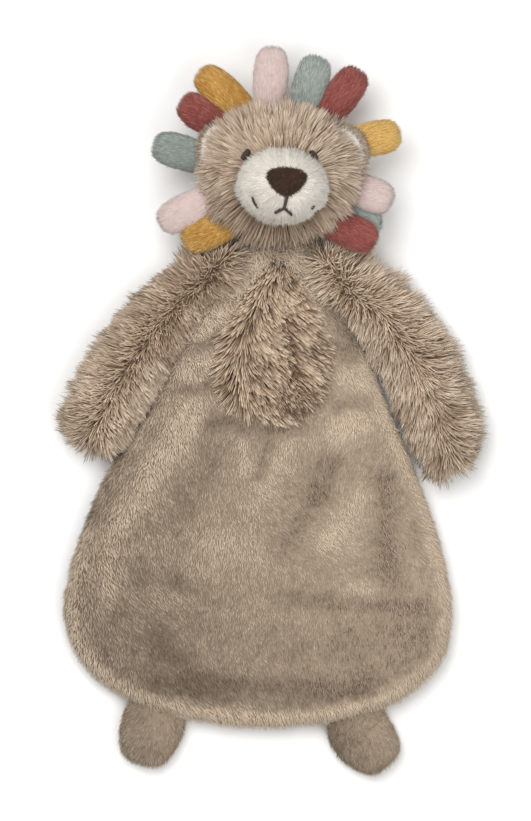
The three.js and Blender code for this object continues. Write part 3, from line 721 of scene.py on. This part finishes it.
def makeHead():
    head = newPiece("headPlush", ball(headForm))
    face = Vector(muzzleForm["middle"]) * mm
    faceWide, faceHigh = headForm["faceHalf"]
    ears = [Vector(earForm["middle"][side]) * mm for side in ("left", "right")]

    def comb(co, normal):
        away = co - face
        flat = math.hypot(away.x / (faceWide * mm), away.y / (faceHigh * mm)) if co.z > headForm["faceFrom"] * mm else 2
        lie = (away - normal * away.dot(normal)).normalized()
        length = headForm["faceNap"] + (headForm["nap"] - headForm["faceNap"]) * rising(flat - 0.95, 0.5)
        for ear in ears:
            near = (co - ear).length / (headForm["earReach"] * mm)
            if near < 1:
                length = min(length, headForm["earNap"] + (headForm["nap"] - headForm["earNap"]) * near ** 2)
                lie = lie * (0.5 + 0.5 * near ** 2 if ear.x > 0 else 0.8 + 0.2 * near ** 2)  # it stands off here
        chin = max(0, -normal.y) ** 1.5
        length = length + (headForm["chinNap"] - length) * chin
        cheek = min(abs(away.x) / (faceWide * mm), 1) * rising(1 - away.y / (14 * mm), 1)
        lie = lie * (0.9 + 0.3 * ripple(co, 7, 43)) + Vector((0.35 * ripple(co, 9, 44), -0.3 * chin - 0.55 * cheek, 0))
        # painted shade under the chin
        tone = 0.5 + 0.2 * ripple(co, 12, 5) - 0.3 * chin
        return lie, length, tone, 0 if flat < 0.75 else (1 if normal.z > -0.3 else 0.4), 1 + chin

    growPile(head, headForm["pile"], comb)
    sewOn(head, "head", "long_pile", 0.8, "head_front_panel", "head_back_panel", "head_stuffing")


def muzzleHeight(x, y):  # the muzzle's front at a place in millimetres
    aside, up = ((c - m) / r for c, m, r in zip((x, y), muzzleForm["middle"], muzzleForm["radii"]))
    return muzzleForm["middle"][2] + muzzleForm["radii"][2] * max(0, 1 - aside ** 2 - up ** 2) ** muzzleForm["flatter"]


def makeMuzzle():
    bm = ball(muzzleForm)
    lines = muzzleForm["mouth"] + list(muzzleForm["cheeks"].values())

    def fromStitches(co):
        return min(fromLine(co, a, b) for line in lines for a, b in zip(line, line[1:]))

    def fromSeam(co):
        return min(fromLine(co, a, b) for a, b in zip(muzzleForm["seam"], muzzleForm["seam"][1:]))

    for v in bm.verts:  # drawn in along the stitches and the seam above the nose
        if v.co.z > muzzleForm["middle"][2] * mm:
            v.co.z = muzzleHeight(v.co.x / mm, v.co.y / mm) * mm
            drawn = fade(fromStitches(v.co), muzzleForm["stitchWidth"])
            drawn += 0.8 * fade(fromSeam(v.co), muzzleForm["seamWidth"])
            v.co.z -= muzzleForm["tuck"] * mm * drawn
    muzzle = newPiece("muzzlePlush", bm)
    nose = Vector((*muzzleForm["nose"], muzzleForm["middle"][2] + muzzleForm["radii"][2])) * mm

    def comb(co, normal):
        away = co - nose
        lie = (away - normal * away.dot(normal)).normalized()
        length = muzzleForm["nap"] * (0.3 + 0.7 * min(fromStitches(co) / 2.4, 1))
        under = math.hypot(away.x / (5.5 * mm), away.y / (3.6 * mm)) < 1
        tone = 0.66 + 0.2 * ripple(co, 9, 6) - 0.2 * fade(fromSeam(co), 0.6)
        return lie, length, tone, 1 if co.z > 30 * mm and not under else 0, 1

    growPile(muzzle, muzzleForm["pile"], comb)
    sewOn(muzzle, "head", "cream_pile", 0.8, "muzzle_cover", "muzzle_stuffing")


def makeNose():
    wide, high = muzzleForm["noseHalf"]
    corner = (0.94 * wide, 0.18 * high)
    bm = cushion({
        "inset": 0, "middle": (0, 0), "seam": 0.4, "front": 2.0, "back": 1.5, "fullness": 0.55,
        "round": 40, "rings": 24, "outline": closedOutline(
            bezier((0, -high), (0.36 * wide, -0.96 * high), (0.74 * wide, -0.42 * high), corner)
            + bezier(corner, (1.12 * wide, 0.72 * high), (0.66 * wide, 0.96 * high), (0, high))[1:])})
    bmesh.ops.translate(bm, verts=bm.verts, vec=Vector(muzzleForm["nose"]).to_3d() * mm)
    for v in bm.verts:  # laid on the muzzle
        v.co.z += muzzleHeight(v.co.x / mm, v.co.y / mm) * mm
    nose = newPiece("noseStitched", bm)

    def comb(co, normal):
        lie = Vector((0.6 * (co.x / mm - muzzleForm["nose"][0]) / wide, -0.4, 0))
        return lie, muzzleForm["noseNap"], 0.5 + 0.25 * ripple(co, 3, 21), 1 if normal.z > -0.1 else 0, 1

    pile = {**muzzleForm["pile"], "look": "noseBrown", "spacing": 0.3, "width": 0.3, "lock": 0.9, "seed": 15}
    growPile(nose, pile, comb)
    sewOn(nose, "head", "nose_satin", 0.6, "nose")


threadLook = {"Scale": 2600.0, "Detail": 3.0}  # the twist of the thread
threadBump = {"Strength": 0.5, "Distance": 0.0002}


def threadMaterial(name, colours, gloss):
    material = bpy.data.materials.new(name)
    material.use_nodes = True
    tree = material.node_tree
    shader = tree.nodes["Principled BSDF"]
    where = addNode(tree, "ShaderNodeTexCoord").outputs["Object"]
    twist = addNode(tree, "ShaderNodeTexNoise", {"Vector": where, **threadLook})
    ramp = addNode(tree, "ShaderNodeValToRGB", {0: twist.outputs[0]})
    for stop, place, colour in zip(ramp.color_ramp.elements, (0.3, 0.7), colours):
        stop.position = place
        stop.color = linear(colour)
    tree.links.new(ramp.outputs["Color"], shader.inputs["Base Color"])
    rough = addNode(
        tree, "ShaderNodeMapRange", {"Value": twist.outputs[0], "To Min": gloss, "To Max": gloss + 0.25})
    tree.links.new(rough.outputs[0], shader.inputs["Roughness"])
    bump = addNode(tree, "ShaderNodeBump", {"Height": twist.outputs[0], **threadBump})
    tree.links.new(bump.outputs[0], shader.inputs["Normal"])
    return material


threads = {
    "mouth": threadMaterial("mouthThread", ((22, 16, 13), (62, 48, 40)), 0.45),
    "eye": threadMaterial("eyeThread", ((20, 14, 10), (72, 58, 47)), 0.7),
}
eyeForm = {
    "left": ((-13.1, 110.3), (-10.7, 113.9)), "right": ((9.9, 114.3), (12.5, 111.4)),
    "height": 39.8, "width": (1.1, 1.1), "depth": (0.7, 0.7), "fullness": 0.6, "round": 16, "rings": 16,
}


def makeStitches():
    def thread(name, lines, node, radius):
        made = bmesh.new()
        for line in lines:
            points = [Vector((x, y, muzzleHeight(x, y) + muzzleForm["stitchLift"])) * mm for x, y in line]
            piece = limb({"spine": polyline(points), "width": (radius, radius), "depth": (radius, radius),
                          "fullness": 0.3, "round": 10, "rings": 16})
            spare = bpy.data.meshes.new("spare")
            piece.to_mesh(spare)
            piece.free()
            made.from_mesh(spare)
            bpy.data.meshes.remove(spare)
        stitch = newPiece(name, made)
        stitch.data.materials.append(threads["mouth"])
        fixOn(stitch, "head", "brown_thread", node)

    thread("mouthThread", muzzleForm["mouth"], "mouth_stitch", muzzleForm["stitch"])
    for side, line in muzzleForm["cheeks"].items():
        thread(side + "CheekThread", [line], side + "_cheek_stitch", muzzleForm["stitch"] * muzzleForm["cheekStitch"])
        a, b = (Vector((*spot, eyeForm["height"])) * mm for spot in eyeForm[side])
        eye = newPiece(side + "EyeStitched", limb({**eyeForm, "spine": polyline([a, b])}))
        eye.data.materials.append(threads["eye"])
        fixOn(eye, "head", "brown_thread", side + "_eye")
    print("face stitched")


earForm = {
    "middle": {"left": (-19.0, 114.0, 24.5), "right": (20.2, 114.2, 24.5)}, "radii": (10, 10.2, 1.5),
    "innerMiddle": {"left": (-18.6, 113.8, 26.4), "right": (19.2, 113.8, 26.4)}, "innerRadii": (8.6, 8.8, 1.2),
    "rounds": 4, "nap": 1.4,
    "pile": {**bodyForm["pile"], "seed": 17, "spacing": 0.45, "width": 0.4},
    "innerPile": {**muzzleForm["pile"], "seed": 19},
}


def makeEar(side):
    for layer, middle, radii, pile, slot in (
            ("outer", "middle", "radii", "pile", "short_pile"),
            ("inner", "innerMiddle", "innerRadii", "innerPile", "cream_pile")):
        form = {"middle": earForm[middle][side], "radii": earForm[radii], "rounds": earForm["rounds"]}
        ear = newPiece(side + layer.capitalize() + "Ear", ball(form))
        centre = Vector(form["middle"]) * mm

        def comb(co, normal):
            out = (co - centre).to_2d().to_3d()
            lie = out.normalized() if out.length else Vector((0, 1, 0))
            return lie, earForm["nap"], 0.45 + 0.2 * ripple(co, 5, 23), 1, 1

        growPile(ear, earForm[pile], comb)
        sewOn(ear, side + "_ear", slot, 0.4, side + "_ear_" + layer)


tabForm = {
    "width": (5.0, 6.4), "depth": (2.9, 3.3), "fullness": 0.52, "round": 30, "rings": 40,
    "sink": 6.5, "tipNap": 2.2, "nap": 1.6, "tone": 0.42,
    "looks": {"pink": "pink", "teal": "teal", "red": "red", "yellow": "mustard"},
    "paler": {
        "yellow_right": 0.72, "pink_left": 0.5, "pink_right": 0.35, "pink_top": 0.1, "teal_top": 0.1,
        "teal_left": -0.25, "red_left": -0.12, "yellow_top": -0.18, "yellow_left": -0.06, "teal_right": -0.1,
    },
    "shift": {
        "pink_right": (0, -1.2, 0), "yellow_left": (0, -1.2, 0), "pink_left": (0, -0.6, 0),
        "yellow_top": (-0.3, 0.5, 0), "red_top": (0.6, 0.2, 0), "yellow_right": (0.3, 0.3, 0),
    },
    "lengths": {
        "pink_top": 19.4, "teal_top": 17.7, "red_top": 19, "yellow_right": 16.2, "pink_right": 12.6, "teal_right": 14.1,
        "red_right": 17, "yellow_left": 16.8, "pink_left": 18.5, "teal_left": 17, "red_left": 15.6, "yellow_top": 19.4,
    },
    "pile": {
        "strand": shortStrand, "spacing": 0.37, "width": 0.32, "stand": 0.34, "mess": 0.2, "lock": 0.95,
        "gather": 0.4, "sway": 0.4, "bend": 0.05, "contrast": 0.5, "lockContrast": 0.6, "soft": 0.5,
    },
}


def hinge(body):  # a hinged flap's place, and the way it points
    joint = next(j for j in frame["joints"] if j["child"] == body)
    return Vector(joint["pos_m"]), Vector((-joint["axis"][1], joint["axis"][0], 0)).normalized()


def makeTabs():
    for k, (tab, length) in enumerate(tabForm["lengths"].items()):
        place, way = hinge("tab_" + tab)
        place = place + Vector(tabForm["shift"].get(tab, (0, 0, 0))) * mm
        ends = [place - way * tabForm["sink"] * mm, place + way * (length - tabForm["tipNap"]) * mm]
        piece = newPiece("mane." + tab, limb({**tabForm, "spine": polyline(ends)}))
        colour = tab.split("_")[0]

        def comb(co, normal):
            lie = way + Vector((0, 0, 0.3 * ripple(co, 8, 30 + k))) + way.cross(normal) * 0.35 * ripple(co, 9, 50 + k)
            tone = tabForm["tone"] + tabForm["paler"].get(tab, 0) + 0.2 * ripple(co, 7, 70 + k)
            # painted light on the sides, and painted shade towards the base under the head's fur, paler towards the tip
            tone = tone + 0.3 * max(0, 0.4 - normal.z) + 0.2 * min(max((co - place).dot(way) / (10 * mm), -1), 1)
            return lie, tabForm["nap"], tone, 1, 1

        growPile(piece, {**tabForm["pile"], "look": tabForm["looks"][colour], "seed": 30 + k}, comb)
        sewOn(piece, "tab_" + tab, colour + "_pile", 0.8, "mane_tab_" + tab)


armForm = {
    "shoulder": (24.67, 68.77, 7.5), "bow": (44.67, 52.77, 7.5), "paw": (61.5, 13.2, 8.8),
    "bowAside": {"left": (0, -0.6), "right": (3.9, 2.4)}, "pawAside": {"left": (0, -0.6), "right": (0.6, -2.3)},
    "width": (6.6, 8.2), "depth": (4.4, 7), "fullness": 0.55, "round": 48, "rings": 80,
    "combed": {
        "left": {"naps": (8.4, 9.4), "innerNaps": (5.6, 8.2), "paler": (-0.2, 0.16), "innerForward": 0.3},
        "right": {"naps": (11.2, 9.0), "innerNaps": (8.8, 10.6), "paler": (0.36, 0.0), "innerForward": 0.8},
    },
    "forward": 0.2, "fan": 1, "core": 6.5, "across": 6, "tip": 5,
    "pile": {
        "look": "longTaupe", "strand": longStrand, "spacing": 0.34, "width": 0.35, "stand": 0.36, "mess": 0.08,
        "lock": 1.6, "gather": 0.75, "sway": 0.45, "bend": 0.05, "contrast": 0.3, "lockContrast": 0.8, "soft": 0.36,
        "seed": 13,
    },
}


# away from the middle line of a limb; naps and paler are at its root and its tip
def combAcross(points, side, naps, innerNaps, paler, forward, innerForward, fan, seed):
    def comb(co, normal):
        k = min(range(len(points) - 1), key=lambda i: (points[i] - co).length_squared)
        along = (points[k + 1] - points[k]).normalized()
        out = co - points[k]
        out = (out - along * out.dot(along)).to_2d().to_3d()
        out += along.cross(Vector((0, 0, 1))) * 2 * mm * ripple(co, 9, seed + 60)
        ahead = max(0, (co - points[-1]).dot(along)) / (armForm["tip"] * mm)
        core = max(0, 1 - out.length / (armForm["core"] * mm)) if normal.z > 0 else 0
        share = k / len(points)
        outward = along.cross(Vector((0, 0, -side)))
        outer = rising(0.5 + out.dot(outward) / (armForm["across"] * mm), 1)
        onward = forward * outer + innerForward * (0.4 + 0.9 * share) * (1 - outer)
        lie = out.normalized() * (1 - core) * 0.9 + along * (onward + fan * ahead)
        innerNap, nap = (a + (b - a) * share for a, b in (innerNaps, naps))
        length = innerNap + (nap - innerNap) * max(outer, min(ahead, 1))
        length *= 1 - 0.25 * core
        # painted shade where the pile stands up along the limb's middle
        tone = 0.48 + 0.2 * ripple(co, 15, seed) - 0.26 * core + paler[0] + (paler[1] - paler[0]) * share
        return lie, length, tone, 1 if normal.z > -0.4 else 0.4, 1 + 2 * core

    return comb


def makeArm(name, side):
    shoulder, bow, paw = (Vector((side * x, y, z)) for x, y, z in (armForm[k] for k in ("shoulder", "bow", "paw")))
    bow += Vector((*armForm["bowAside"][name], 0))
    paw += Vector((*armForm["pawAside"][name], 0))
    points = bezier(shoulder, shoulder.lerp(bow, 2 / 3), paw.lerp(bow, 2 / 3), paw, steps=40)
    arm = newPiece(name + "ArmPlush", limb({**armForm, "spine": polyline(points)}))
    comb = combAcross(
        points, side, **armForm["combed"][name], forward=armForm["forward"], fan=armForm["fan"], seed=8 + side)
    growPile(arm, {**armForm["pile"], "seed": armForm["pile"]["seed"] + side}, comb)
    nodes = (name + "_arm_" + layer for layer in ("front", "back", "stuffing"))
    sewOn(arm, name + "_arm", "long_pile", 0.7, *nodes)


shoulderForm = {
    "outer": (26.5, 66.5, 8), "inner": (16.4, 79.2, 11), "steps": 12,
    "width": (6.2, 5.0), "depth": (4.2, 3.4), "fullness": 0.55, "round": 32, "rings": 24,
    "combed": {
        "left": {"naps": (9, 9), "innerNaps": (8, 8), "paler": (-0.1, 0)},
        "right": {"naps": (11.4, 10.4), "innerNaps": (8, 8), "paler": (0.34, 0.34)},
    },
    "forward": 0.2, "fan": 0.9, "seed": 23,
}


def makeShoulder(name, side):
    outer, inner = (Vector((side * shoulderForm[k][0], *shoulderForm[k][1:])) * mm for k in ("outer", "inner"))
    steps, forward = shoulderForm["steps"], shoulderForm["forward"]
    points = [outer.lerp(inner, i / steps) for i in range(steps + 1)]
    gather = newPiece(name + "ShoulderPlush", limb({**shoulderForm, "spine": polyline(points)}))
    comb = combAcross(
        points, -side, **shoulderForm["combed"][name], forward=forward, innerForward=forward, fan=shoulderForm["fan"],
        seed=18 + side)
    growPile(gather, {**armForm["pile"], "seed": shoulderForm["seed"] + side}, comb)
    sewOn(gather, name + "_shoulder", "long_pile", 0.7, name + "_shoulder_gather")


neckForm = {"middle": (0, 87.5, 10), "radii": (6, 6, 5.4), "rounds": 4, "nap": 2.5, "tone": 0.4, "toss": 2, "seed": 25}


def makeNeck():
    neck = newPiece("neckGather", ball(neckForm))

    def comb(co, normal):
        return Vector((0, -1, 0)), neckForm["nap"], neckForm["tone"], 1, neckForm["toss"]

    growPile(neck, {**bodyForm["pile"], "seed": neckForm["seed"]}, comb)
    sewOn(neck, "neck", "short_pile", 0.8, "neck_gather")


footForm = {
    "width": (11.7, 9.5), "depth": (3.7, 3.9), "fullness": 0.5, "round": 44, "rings": 44,
    "sink": 8, "reach": {"left": 16, "right": 12.8},
    "rootAside": {"left": 0, "right": -2.0}, "tipAside": {"left": 0.5, "right": 6},
    "nap": 1.5, "tone": 0.37, "toss": 1.5, "seed": 27,
}


def makeFoot(side):
    place, way = hinge(side + "_foot")
    ends = [place - way * footForm["sink"] * mm, place + way * footForm["reach"][side] * mm]
    ends[0].x += footForm["rootAside"][side] * mm
    ends.insert(1, ends[0].lerp(ends[1], 0.5))
    ends[2].x += footForm["tipAside"][side] * mm
    foot = newPiece(side + "FootCloth", limb({**footForm, "spine": polyline(ends)}))
    middle = ends[1]

    def comb(co, normal):
        out = (co - middle).to_2d().to_3d() / (12 * mm)
        # paler on the sides that turn away from the top: painted light on the rim
        tone = footForm["tone"] + 0.18 * ripple(co, 9, 27) + 0.45 * max(0, 0.7 - normal.z)
        return way * 0.8 + out * 0.6, footForm["nap"], tone, 1, footForm["toss"]

    growPile(foot, {**bodyForm["pile"], "seed": footForm["seed"]}, comb)
    nodes = (side + "_foot_" + layer for layer in ("front", "back", "wadding"))
    sewOn(foot, side + "_foot", "short_pile", 0.6, *nodes)


setStudio()
makeBody()
makeTummy()
makeNeck()
makeHead()
makeMuzzle()
makeNose()
makeStitches()
makeTabs()
for side, way in (("left", -1), ("right", 1)):
    makeEar(side)
    makeShoulder(side, way)
    makeArm(side, way)
    makeFoot(side)
